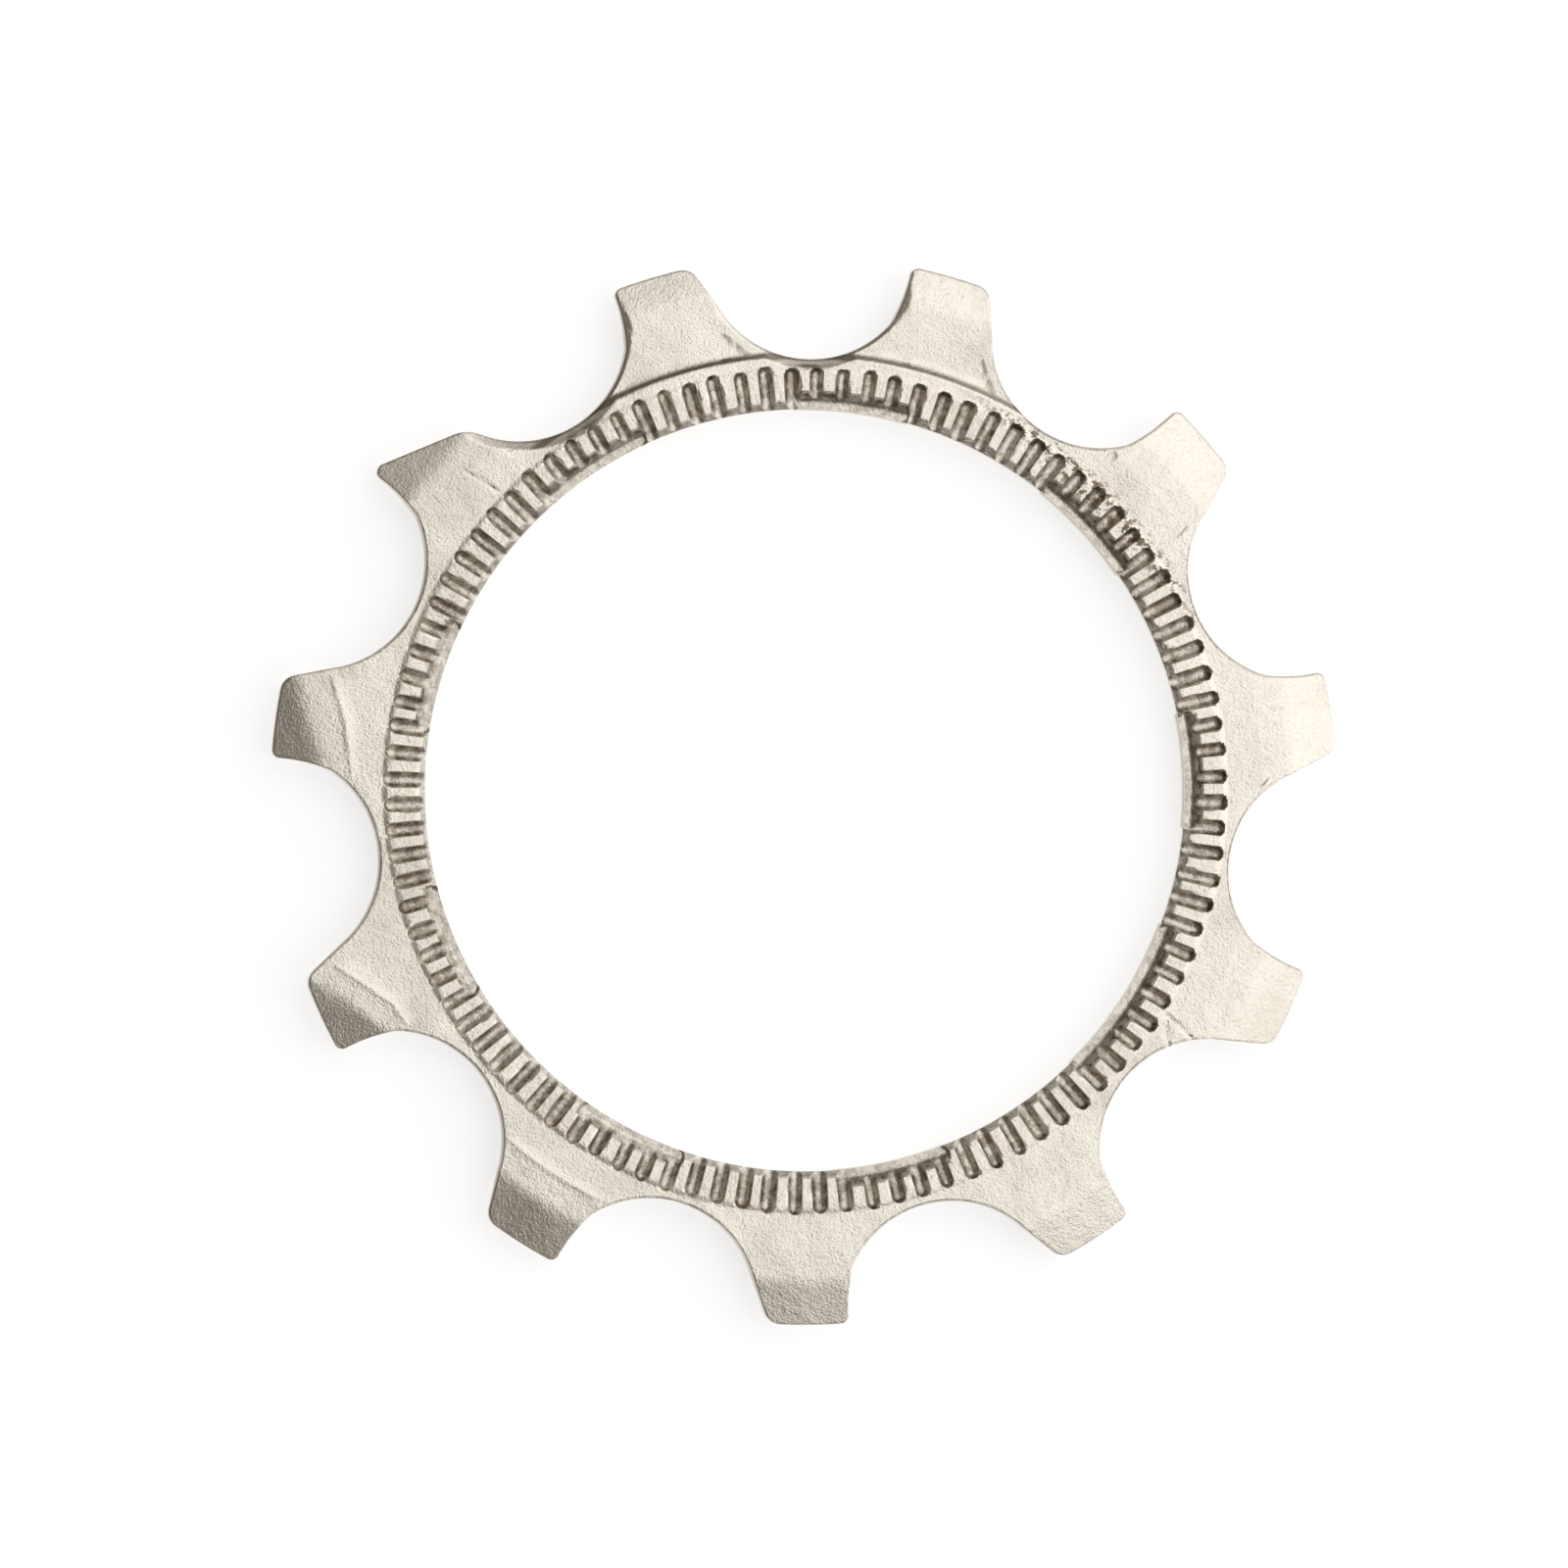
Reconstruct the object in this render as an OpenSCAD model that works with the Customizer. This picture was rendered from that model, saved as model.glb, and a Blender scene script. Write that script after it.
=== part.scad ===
// Smallest cog of a bicycle cassette, stamped and turned from one plate of steel.
// It lies on its plain back: +Z is the bore's axis and points out of the toothed lockring seat,
// and the origin is the bore's centre on the back face. All lengths are in millimetres.

/* [Teeth] */
// Chain pitch
chain_pitch = 12.7; // [12.5:0.05:12.9]
// Angle of the first tooth, in degrees
first_tooth = 41.8; // [0:0.1:60]
// Radius of the tooth tips
tip_r = 23.15; // [22.8:0.05:23.5]
// Diameter of the chain's rollers
roller_d = 7.75; // [7.7:0.01:7.9]
// Radius of the arc that a chain roller sits in
seat_arc_r = 4.72; // [4.4:0.02:4.9]
// Radius of the arc along each tooth's steep flank
steep_arc_r = 6.9; // [6:0.1:8]
// Rounding of the steep flank's tip corner
steep_corner_r = 0.35; // [0.2:0.05:0.5]
// Rounding of the sloping flank's tip corner
slope_corner_r = 0.75; // [0.4:0.05:0.9]

/* [Plate] */
// Thickness of the plate at the lockring seat
plate_t = 1.8; // [1.6:0.05:2.2]
// How far the lockring seat stands above the tooth faces
seat_rise = 0.06; // [0.04:0.01:0.1]
// Outer radius of the lockring seat
seat_r = 18.15; // [18:0.05:18.3]
// Radius where the tooth face begins to fall away
crease_r = 19.85; // [19.5:0.05:20.2]
// Slope of the tooth face outside the crease, in degrees
crease_slope = 2.5; // [1.5:0.5:4]
// Width of the gentle slope from that crease to the tip bevel
crease_w = 1.35; // [1.1:0.05:1.5]
// Slope of the tip bevel, in degrees
bevel_slope = 15; // [10:1:20]

/* [Bore] */
// Radius of the bore
bore_r = 16.5; // [16.4:0.05:16.6]
// Width of the bevel round the bore's front edge
bore_bevel = 0.32; // [0.2:0.02:0.4]
// How far the lugs' inner faces stand inside the bore
lug_rise = 0.02; // [0.01:0.005:0.02]
// Depth of the lugs, measured from the back
lug_depth = 0.9; // [0.7:0.05:0.95]
// Depth of the spline grooves behind the front lip
spline_depth = 0.95; // [0.95:0.05:1.1]
// Radius at the bottom of the spline grooves
spline_r = 17.3; // [17.1:0.05:17.4]
// Angle of the first spline lug, in degrees
first_lug = 3.3; // [0:0.1:10]
// Half of each lug's angle, in degrees
lug_half = 8.6; // [8:0.1:9.5]
// How much further the wide index lug reaches on one side, in degrees
index_extra = 8; // [6:0.5:9]

/* [Lug reliefs] */
// Depth of the relief in front of each lug
relief_depth = 0.42; // [0.34:0.02:0.5]
// Radius of the relief's wall at its floor
relief_floor_r = 16.85; // [16.8:0.05:17]
// Radius of the relief's wall at the seat
relief_top_r = 17.3; // [17.1:0.05:17.4]
// Rounding of the relief's ends
relief_end_r = 0.42; // [0.3:0.02:0.5]

/* [Serrations] */
// Number of grooves in the lockring seat
groove_count = 100; // [80:1:110]
// Angle of the first groove, in degrees
first_groove = 2.3; // [0:0.1:3.6]
// Radius of each groove's section and of its round end
groove_r = 0.31; // [0.24:0.01:0.34]
// Radius where the grooves end
groove_end_r = 18.34; // [18.2:0.02:18.4]

/* [Shifting teeth] */
// How far the pointed tooth's straight cut starts below the tip circle
point_fall = 0.23; // [0.15:0.01:0.3]
// How far the point lies to one side of that tooth's middle
point_side = 0.8; // [0.6:0.02:0.9]
// Direction of the straight cut from the point, in degrees
point_turn = 243; // [238:0.5:246]
// Rounding between that cut and the gap beside it
shoulder_r = 1.7; // [1.3:0.1:2]
// Direction in which the first oblique bevel falls, from its tooth's middle, in degrees
first_oblique_turn = 24.3; // [20:0.1:28]
// Distance of the first oblique crease from the bore's axis
first_oblique_d = 18.26; // [18.1:0.02:18.4]
// Width of the gentle slope between the first oblique crease and its tip bevel
first_oblique_w = 1.6; // [1.4:0.05:1.8]
// Direction in which the second oblique bevel falls, from its tooth's middle, in degrees
second_oblique_turn = 31; // [27:0.5:34]
// Distance of the second oblique crease from the bore's axis
second_oblique_d = 17.65; // [17.5:0.05:17.8]
// Width of the gentle slope between the second oblique crease and its tip bevel
second_oblique_w = 1.1; // [1:0.05:1.3]
// Depth of the recess in the two lowered teeth
recess_depth = 0.2; // [0.15:0.01:0.3]
// Radius of the step at the lowered teeth
recess_r = 18.8; // [18.7:0.05:18.9]
// Width of the bevel along the two gaps at the lowered teeth
gap_bevel = 0.42; // [0.3:0.02:0.5]
// Width of that bevel for each millimetre of its depth
gap_steepness = 1.4; // [1.2:0.05:1.6]
// Width of the scratches
scratch_w = 0.16; // [0.1:0.02:0.2]
// Radius of the section of the ridges along three of the creases
ridge_r = 0.1; // [0.08:0.01:0.12]
// How far those ridges stand above the tooth faces
ridge_h = 0.02; // [0.015:0.005:0.03]

/* [Hidden] */
$fn = 96;
tooth_count = 11;
tooth_step = 360 / tooth_count;
pitch_r = chain_pitch / (2 * sin(180 / tooth_count));
root_r = pitch_r - roller_d / 2;
lug_count = 9;
lug_step = 360 / lug_count;
index_lug = 8;
pointed_tooth = 3;
first_oblique = 4;
second_oblique = 5;
// The first gap lies this far past the tooth it follows, in degrees
gap_turn = 15.2;
face_z = plate_t - seat_rise;
bevel_r = crease_r + crease_w;
air = 1;
// A rounding circle crosses the lines that it rounds by this much
touch = 0.004;
steel = [0.78, 0.76, 0.73];

// The roller's arc, in a frame with the gap's middle along +X
seat_mid = [root_r + seat_arc_r, 0];
// The steep flank's arc and the sloping flank's straight line, in the same frame
steep_mid = seat_mid + seat_arc_r * [0.085, 0.506];
slope_start = seat_mid + seat_arc_r * [-0.576, 0.814];
slope_turn = 36;
// How far the gap's cut runs out past the tips
slope_reach = tip_r - root_r + 3;
slope_run = [cos(slope_turn), sin(slope_turn)];
slope_in = [-sin(slope_turn), cos(slope_turn)];

// Centres of the two tip corners' rounding circles
function unit(v) = v / norm(v);
// A circle of radius c round the origin meets one of radius d round p: the crossing on p's right
function crossing(c, p, d) =
    let (m = norm(p), a = (c * c - d * d + m * m) / (2 * m), h = sqrt(c * c - a * a), u = p / m)
    a * u + h * [u[1], -u[0]];
// The point on a line from s along d that lies c from the origin
function reach(s, d, c) =
    let (b = s * d)
    s + (sqrt(b * b - s * s + c * c) - b) * d;
steep_corner = crossing(tip_r - steep_corner_r, steep_mid, steep_arc_r + steep_corner_r);
slope_corner = reach(slope_start + slope_corner_r * slope_in, slope_run, tip_r - slope_corner_r);

function tooth_turn(i) = first_tooth + i * tooth_step;
function gap_at(i) = first_tooth + gap_turn + i * tooth_step;
function lug_turn(i) = first_lug + i * lug_step;
function lug_from(i) = lug_turn(i) - lug_half;
function lug_to(i) = lug_turn(i) + lug_half + (i == index_lug ? index_extra : 0);

// Outside of a corner's rounding circle: c is its middle, a and b point to the two lines it rounds
module corner_2d(c, a, b, r) {
    reach_out = r + 0.4;
    difference() {
        polygon([c, c + reach_out * a, c + reach_out * (a + b), c + reach_out * b]);
        translate(c) circle(r + touch);
    }
}

// One gap between two teeth, with its two tip corners, its middle along +X
module gap_2d() {
    intersection() {
        union() {
            translate(seat_mid) circle(seat_arc_r);
            polygon([
                slope_start, slope_start + slope_reach * slope_run,
                [slope_start[0] + slope_reach, -1.5 * seat_arc_r], [slope_start[0], -0.746 * seat_arc_r]
            ]);
        }
        translate(steep_mid) circle(steep_arc_r);
    }
    corner_2d(steep_corner, unit(steep_mid - steep_corner), unit(steep_corner), steep_corner_r);
    corner_2d(slope_corner, -slope_in, unit(slope_corner), slope_corner_r);
}

// The straight cut that leaves one tooth pointed, with the tooth's middle along +X, and the rounding
// between that cut and the gap before the tooth
module pointed_cut_2d() {
    from = [tip_r - point_fall, point_side];
    run = [cos(point_turn), sin(point_turn)];
    out = [-run[1], run[0]];
    start = from - tip_r / 10 * run;
    end = from + tip_r / 5 * run;
    polygon([start, start + tip_r / 5 * out, end + tip_r / 5 * out, end]);
    gap_side = gap_turn - tooth_step;
    gap_mid = seat_mid[0] * [cos(gap_side), sin(gap_side)];
    shoulder = gap_mid + reach(from - shoulder_r * out - gap_mid, -run, shoulder_r + seat_arc_r);
    corner_2d(shoulder, out, unit(gap_mid - shoulder), shoulder_r);
}

// Plan of everything that is cut away between the teeth
module gaps_2d() {
    for (i = [0 : tooth_count - 1]) rotate(gap_at(i)) gap_2d();
    rotate(tooth_turn(pointed_tooth)) pointed_cut_2d();
}

// A turned cut: the profile is carried from one angle to another
module turned(from, to) {
    rotate([0, 0, from]) rotate_extrude(angle = to - from, $fn = 180) children();
}

// The tooth faces lie a little below the lockring seat
module face_cut() {
    turned(0, 360) polygon([
        [seat_r, plate_t + air], [seat_r, plate_t], [seat_r + seat_rise, face_z],
        [tip_r + air, face_z], [tip_r + air, plate_t + air]
    ]);
}

// The two slopes towards the tips, as one profile above the metal
module bevel_profile() {
    fall = tan(crease_slope) * (bevel_r - crease_r);
    polygon([
        [crease_r - air, face_z + air * tan(crease_slope)], [bevel_r, face_z - fall],
        [tip_r + air, face_z - fall - tan(bevel_slope) * (tip_r + air - bevel_r)],
        [tip_r + air, plate_t + air], [crease_r - air, plate_t + air]
    ]);
}

// The tip bevels of the plain teeth, from one side of the two oblique teeth round to the other
module front_bevels() {
    turned(gap_at(second_oblique), gap_at(first_oblique - 1) + 360) bevel_profile();
}

module back_bevels() {
    turned(0, 360) polygon([
        [bevel_r, -air], [bevel_r, 0], [tip_r + air, tan(bevel_slope) * (tip_r + air - bevel_r)],
        [tip_r + air, -air]
    ]);
}

// A sloping cut that starts at the distance d along +X at the height z, and falls by the angle s
module sloped_cut(d, s, z) {
    width = 1.5 * tip_r;
    translate([d, 0, z]) rotate([0, s, 0]) translate([-air / 2, -width / 2, 0])
        cube([width / 2, width, 3 * air]);
}

// The bevel of a tooth whose crease runs obliquely, at the distance d along the direction turn, with its
// gentle slope this wide
module oblique_bevel(i, turn, d, width) {
    fall = tan(crease_slope) * width;
    reach = tip_r + 3 * air;
    half = tooth_step / 2 - 1.4;
    intersection() {
        rotate([0, 0, tooth_turn(i) + turn]) {
            sloped_cut(d, crease_slope, face_z);
            sloped_cut(d + width, bevel_slope, face_z - fall);
        }
        rotate([0, 0, tooth_turn(i)]) translate([0, 0, -air / 2]) linear_extrude(plate_t + 2 * air)
            polygon([[bore_r / 2, 0], reach * [cos(half), -sin(half)], reach * [cos(half), sin(half)]]);
    }
}

// The bore between the lugs' inner faces, then the wider front lip with its bevelled edge
module bore() {
    translate([0, 0, -air]) cylinder(r = bore_r - lug_rise, h = plate_t + 2 * air, $fn = 180);
    translate([0, 0, lug_depth]) cylinder(r = bore_r, h = plate_t, $fn = 180);
    translate([0, 0, plate_t - bore_bevel])
        cylinder(r1 = bore_r, r2 = bore_r + bore_bevel + air, h = bore_bevel + air, $fn = 180);
}

// The spline grooves between the lugs, open at the back and closed by the front lip
module spline_grooves() {
    for (i = [0 : lug_count - 1]) {
        turned(lug_to(i), lug_from(i + 1)) polygon([
            [bore_r - air, -air], [spline_r, -air], [spline_r, spline_depth], [bore_r - air, spline_depth]
        ]);
    }
}

// Plan of one relief: a sector with round ends
module relief_2d(i) {
    end_r = relief_floor_r;
    end_turn = asin(relief_end_r / end_r);
    from = lug_from(i) + end_turn;
    to = lug_to(i) - end_turn;
    mid = (from + to) / 2;
    polygon([
        12 * [cos(from), sin(from)], (seat_r + 1) * [cos(from), sin(from)],
        (seat_r + 1.5) * [cos(mid), sin(mid)],
        (seat_r + 1) * [cos(to), sin(to)], 12 * [cos(to), sin(to)]
    ]);
    for (a = [from, to]) rotate(a) translate([end_r, 0]) circle(relief_end_r);
}

// The reliefs in front of the lugs: a cone for their wall, inside the plans
module reliefs() {
    rise = relief_top_r - relief_floor_r;
    intersection() {
        translate([0, 0, plate_t - relief_depth]) cylinder(
            r1 = relief_floor_r, r2 = relief_floor_r + rise * (relief_depth + air) / relief_depth,
            h = relief_depth + air, $fn = 180
        );
        translate([0, 0, plate_t - relief_depth - 0.1]) linear_extrude(relief_depth + air + 0.2)
            for (i = [0 : lug_count - 1]) relief_2d(i);
    }
}

// The radial grooves of the lockring seat: a round section and a ball end
module serrations() {
    ball_at = groove_end_r - groove_r;
    for (i = [0 : groove_count - 1]) {
        rotate([0, 0, first_groove + i * 360 / groove_count]) {
            translate([bore_r - air, 0, plate_t]) rotate([0, 90, 0])
                cylinder(r = groove_r, h = ball_at - bore_r + air, $fn = 20);
            translate([ball_at, 0, plate_t]) sphere(groove_r, $fn = 20);
        }
    }
}

// Two neighbouring teeth are lowered, with a step at the seat's edge
module lowered_teeth() {
    floor_z = face_z - recess_depth;
    turned(gap_at(0), gap_at(2)) polygon([
        [recess_r - seat_rise, plate_t + air], [recess_r - seat_rise, face_z],
        [recess_r + recess_depth, floor_z], [tip_r + air, floor_z], [tip_r + air, plate_t + air]
    ]);
}

// The bevels along the two gaps beside the lowered teeth
module gap_bevels() {
    drop = gap_bevel / gap_steepness;
    under = drop / 2;
    for (i = [1, 2]) {
        rotate([0, 0, gap_at(i)]) translate([seat_mid[0], 0, face_z - drop - under]) cylinder(
            r1 = seat_arc_r - gap_steepness * under,
            r2 = seat_arc_r + gap_steepness * (drop + under),
            h = drop + 2 * under
        );
    }
}

// A scratch along the face from one point to another, each given as an angle and a radius
module scratch(a, b) {
    from = a[1] * [cos(a[0]), sin(a[0])];
    run = b[1] * [cos(b[0]), sin(b[0])] - from;
    translate([from[0], from[1], face_z + scratch_w / 4]) rotate([0, 90, atan2(run[1], run[0])])
        cylinder(r = scratch_w / 2, h = norm(run), $fn = 16);
}

// A thin rounded ridge from one point of the face to another, each given as an angle and a radius
module ridge(a, b) {
    from = a[1] * [cos(a[0]), sin(a[0])];
    run = b[1] * [cos(b[0]), sin(b[0])] - from;
    translate([from[0], from[1], face_z + ridge_h - ridge_r]) rotate([0, 90, atan2(run[1], run[0])])
        cylinder(r = ridge_r, h = norm(run), $fn = 24);
}

// The ridge along one oblique crease, at the distance d along its direction: it runs on the crease
// from far to bend, in degrees short of that direction, and ends off the crease at near
module oblique_ridge(i, turn, d, far, bend, near, off) {
    line = tooth_turn(i) + turn;
    ridge([line - bend, d / cos(bend)], [line - far, d / cos(far)]);
    ridge([line - bend - 0.2, d / cos(bend)], [line - near, (d + off) / cos(near)]);
}

// The raised lines that the stamping left along the creases of three teeth
module ridges() {
    turned(gap_at(second_oblique), gap_at(second_oblique + 1))
        translate([crease_r, face_z + ridge_h - ridge_r]) circle(ridge_r, $fn = 24);
    oblique_ridge(
        first_oblique, first_oblique_turn, first_oblique_d,
        far = 35, bend = 25, near = 17, off = 0.5
    );
    oblique_ridge(
        second_oblique, second_oblique_turn, second_oblique_d,
        far = 38, bend = 29, near = 24, off = 0.6
    );
}

module scratches() {
    scratch([328.6, seat_r + 0.25], [327.6, crease_r + 0.15]);
    scratch([328.6, seat_r + 0.25], [325, crease_r - 0.55]);
    scratch([137.4, crease_r + 0.45], [136.3, seat_r + 0.6]);
}

// The round plate with its bevels and its two lowered teeth, before the gaps are cut
module blank() {
    difference() {
        cylinder(r = tip_r, h = plate_t, $fn = 360);
        face_cut();
        front_bevels();
        back_bevels();
        oblique_bevel(first_oblique, first_oblique_turn, first_oblique_d, first_oblique_w);
        oblique_bevel(second_oblique, second_oblique_turn, second_oblique_d, second_oblique_w);
        lowered_teeth();
    }
}

// The plate with its ridges and its teeth
module plate() {
    difference() {
        difference() {
            union() {
                blank();
                ridges();
            }
            translate([0, 0, -air]) linear_extrude(plate_t + 2 * air) gaps_2d();
        }
        gap_bevels();
    }
}

module cog() {
    color(steel) difference() {
        difference() {
            plate();
            bore();
            spline_grooves();
            reliefs();
        }
        serrations();
        scratches();
    }
}

cog();
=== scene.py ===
import math

import bpy
import numpy as np
from mathutils import Matrix, Vector


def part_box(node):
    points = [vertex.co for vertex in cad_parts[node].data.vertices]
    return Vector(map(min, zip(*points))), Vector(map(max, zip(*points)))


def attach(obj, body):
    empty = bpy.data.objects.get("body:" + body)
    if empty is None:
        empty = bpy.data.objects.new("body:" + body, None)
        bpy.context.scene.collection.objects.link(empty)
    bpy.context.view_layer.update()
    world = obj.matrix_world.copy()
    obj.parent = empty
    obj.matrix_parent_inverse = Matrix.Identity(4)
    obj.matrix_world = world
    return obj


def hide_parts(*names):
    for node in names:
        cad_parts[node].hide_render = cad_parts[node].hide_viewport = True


bl_info = {
    "name": "Cassette cog finish",
    "version": (1, 0, 0),
    "blender": (4, 5, 0),
    "location": "3D View > Sidebar > Cog",
    "description": "The toothed plate of a small cassette cog in satin nickel, on a plain studio stage",
    "category": "Object",
}

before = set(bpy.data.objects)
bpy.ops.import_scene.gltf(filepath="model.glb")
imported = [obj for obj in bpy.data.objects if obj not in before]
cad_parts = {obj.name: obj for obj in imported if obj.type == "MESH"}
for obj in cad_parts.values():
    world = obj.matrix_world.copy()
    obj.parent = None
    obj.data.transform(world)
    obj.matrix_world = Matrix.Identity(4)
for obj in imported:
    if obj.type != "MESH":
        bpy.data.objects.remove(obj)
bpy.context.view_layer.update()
cog_low, cog_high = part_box("cog")


MM = 0.001


def length(name, description, millimetres, least=0.0):
    """A length property, given in millimetres and kept in metres."""
    return bpy.props.FloatProperty(
        name=name, description=description, default=millimetres * MM, min=least * MM,
        unit="LENGTH", precision=6)


def angle(name, description, degrees):
    """An angle property, given in degrees."""
    return bpy.props.FloatProperty(
        name=name, description=description, default=math.radians(degrees), subtype="ANGLE")


def colour(name, description, *values):
    """A colour property."""
    return bpy.props.FloatVectorProperty(
        name=name, description=description, default=values, size=3, min=0, max=1, subtype="COLOR")


class CogPlate(bpy.types.PropertyGroup):
    """Sizes of the toothed plate"""

    pitch: length("Chain pitch", "Distance from one chain roller to the next", 12.7)
    roller: length("Roller", "Diameter of the chain's rollers", 7.75)
    first_tooth: angle("First tooth", "Angle of the first tooth", 41.8)
    gap_turn: angle("Gap", "Angle from a tooth to the gap after it", 15.2)
    tip: length("Tips", "Radius of the tooth tips", 23.15)
    seat_arc: length("Roller arc", "Radius of the arc that a roller sits in", 4.72)
    steep_arc: length("Steep flank", "Radius of the arc along the steep flank", 6.9)
    slope_turn: angle("Sloping flank", "Direction of the sloping flank", 36)
    steep_corner: length("Steep corner", "Rounding of the steep flank's tip corner", 0.35)
    slope_corner: length("Slope corner", "Rounding of the sloping flank's tip corner", 0.75)
    thick: length("Thickness", "Thickness at the lockring seat", 1.8)
    seat_rise: length("Seat rise", "How far the seat stands above the tooth faces", 0.06)
    seat: length("Seat", "Outer radius of the lockring seat", 18.15)
    crease: length("Crease", "Radius where the tooth face begins to fall away", 19.85)
    crease_w: length("Crease width", "Width of the gentle slope outside the crease", 1.35)
    crease_slope: angle("Crease slope", "Slope of the face outside the crease", 2.5)
    bevel_slope: angle("Bevel slope", "Slope of the tip bevel", 15)
    bore: length("Bore", "Radius of the bore", 16.5)
    bore_bevel: length("Bore bevel", "Width of the bevel round the bore's front edge", 0.32)
    lug_rise: length("Lug rise", "How far the lugs stand inside the bore", 0.02)
    lug_depth: length("Lug depth", "Depth of the lugs from the back", 0.9)
    spline: length("Splines", "Radius at the bottom of the spline grooves", 17.3)
    spline_depth: length("Spline depth", "Depth of the spline grooves from the back", 0.95)
    first_lug: angle("First lug", "Angle of the first lug", 3.3)
    lug_half: angle("Half lug", "Half of each lug's angle", 8.6)
    index_extra: angle("Index lug", "How much further the index lug reaches", 8)
    relief_depth: length("Relief depth", "Depth of the reliefs in front of the lugs", 0.42)
    relief_floor: length("Relief floor", "Radius of the relief's wall at its floor", 16.85)
    relief_top: length("Relief top", "Radius of the relief's wall at the seat", 17.3)
    relief_end: length("Relief ends", "Rounding of the relief's ends", 0.42)
    grooves: bpy.props.IntProperty(
        name="Grooves", description="Number of grooves in the lockring seat", default=100, min=10, max=200)
    first_groove: angle("First groove", "Angle of the first groove", 2.3)
    groove: length("Groove", "Radius of each groove's section", 0.31)
    groove_end: length("Groove ends", "Radius where the grooves end", 18.34)
    uneven: bpy.props.FloatProperty(
        name="Uneven", description="How much the stamped grooves differ", default=1, min=0, max=2)
    edge: length("Edge", "Rounding of the plate's outer edges", 0.045)


class CogFinish(bpy.types.PropertyGroup):
    """Colours and grain of the nickel plating, and the colour of its residue and painted shade"""

    nickel: colour("Nickel", "Colour of the clean plating", 0.89, 0.855, 0.775)
    shade: colour("Shade", "Colour of the plating where it is stained", 0.62, 0.56, 0.47)
    # the residue's colour, also used for all the painted shade
    grime_and_shade: colour("Grime", "Colour of the residue down in the grooves", 0.2, 0.155, 0.112)
    smeared: angle("Smeared side", "Angle of the side where residue is smeared past the grooves", 45)
    rough: bpy.props.FloatProperty(
        name="Roughness", description="Roughness of the blasted plating", default=0.38, min=0, max=1)
    stain: length("Stain", "Width of the soft stains", 4, 0.1)
    grain: length("Grain", "Width of one grain of the blasted surface", 0.11, 0.01)
    grain_height: length("Grain height", "Height of the blasted grain", 0.016)


class CogStage(bpy.types.PropertyGroup):
    """Camera, floor and lamps"""

    tilt_left: angle("Tilt left", "How far the camera stands to the left of the bore's axis", 4.35)
    tilt_down: angle("Tilt down", "How far the camera stands below the bore's axis", 0.58)
    roll: angle("Roll", "Turn of the camera about its own axis", 0.3)
    distance: length("Distance", "Distance from the camera to the cog", 808, 100)
    pixel: length("Pixel", "Size of one of the image's 1600 pixels at the cog", 0.04245, 0.001)
    right: bpy.props.FloatProperty(
        name="Right", description="Pixels from the image's middle right to the bore's axis", default=20.98)
    down: bpy.props.FloatProperty(
        name="Down", description="Pixels from the image's middle down to the bore's axis", default=6.4)
    floor: length("Floor", "Side of the square floor", 3000, 100)
    key: bpy.props.FloatProperty(
        name="Key lamp", description="Power of the key lamp on the right", default=6.0, min=0, unit="POWER")
    key_turn: angle("Key turn", "Direction of the key lamp round the cog", 20)
    key_lean: angle("Key lean", "How far the key lamp stands off the bore's axis", 39.5)
    key_distance: length("Key distance", "Distance from the key lamp to the cog", 600)
    key_size: length("Key size", "Side of the square key lamp", 1300)
    room: colour("Room light", "Colour and strength of the even light from all round", 0.108, 0.088, 0.07)


# lengths from here to the functions are in mm, and angles in degrees
TEETH = 11
LUGS = 9
INDEX_LUG = 8
POINTED = 3
# the pointed tooth's straight cut: how far it starts below the tip circle and to one side, its direction,
# and the rounding between it and the gap beside it
POINT = (0.23, 0.8, 243, 1.7)
# the two teeth with an oblique crease: tooth, direction and distance of the crease, width of the gentle
# slope outside it, where its ridge bends and ends, in degrees short of that direction, and how far it
# ends off the crease
OBLIQUE = ((4, 24.3, 18.26, 1.6, 25, 17, 0.5), (5, 31.0, 17.65, 1.1, 29, 24, 0.6))
# the tooth whose round crease has a ridge, and the ridges' half width and height
RIDGED = 6
RIDGE_W, RIDGE_H = 0.08, 0.02
# depth and radius of the step down to the two lowered teeth, and width and run per rise of the bevels
# along the two gaps beside the second of them
RECESS_DEPTH, RECESS_R = 0.2, 18.8
GAP_BEVEL, GAP_STEEPNESS = 0.42, 1.4
# both ends of each scratch, each as an angle and a radius, and the scratches' width
SCRATCHES = (((328.6, 18.4), (327.6, 20.0)), ((328.6, 18.4), (325.0, 19.3)), ((137.4, 20.3), (136.3, 18.75)))
SCRATCH_W = 0.16
# painted shade on the face, as dark strokes: four along the right flanks of the two lowered teeth and three
# at the bases of other flanks; both ends and the width
SHADE_MARKS = (
    ((67.8, 20.1), (65, 19), 0.16),
    ((65.6, 19.2), (65, 19), 0.24),
    ((100.5, 20), (97.7, 18.95), 0.16),
    ((98.4, 19.15), (97.8, 18.95), 0.24),
    ((47.8, 19.86), (47.3, 19.8), 0.14),
    ((34.9, 20.1), (34.6, 19.75), 0.08),
    ((1.7, 20.1), (0.9, 19.85), 0.09),
)
# painted shade on the outer edges: they are darkest where they face this way, by these shares from the front
# row to the back one
DARK_EDGE = 120
EDGE_SHADE = (0.8, 1, 1, 0.4)
# height of the slow waves, and how far each kind of crease is rounded
WAVE_H = 0.0035
STEP_EASE, CUT_EASE, SLOPE_EASE, BEVEL_EASE, OBLIQUE_EASE = 0.02, 0.03, 0.05, 0.1, 0.15
# the rows of the seat, outwards from the bore, and the first rows of the face, outwards from those
SEAT_ROWS = (0, 0.06, 0.14, 0.23, 0.32, 0.42, 0.54, 0.67, 0.8, 1.0, 1.28, 1.48, 1.58, 1.66, 1.73, 1.79, 1.84,
             1.9, 1.96)
FACE_ROWS = (0.16, 0.28, 0.4, 0.54)
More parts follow.
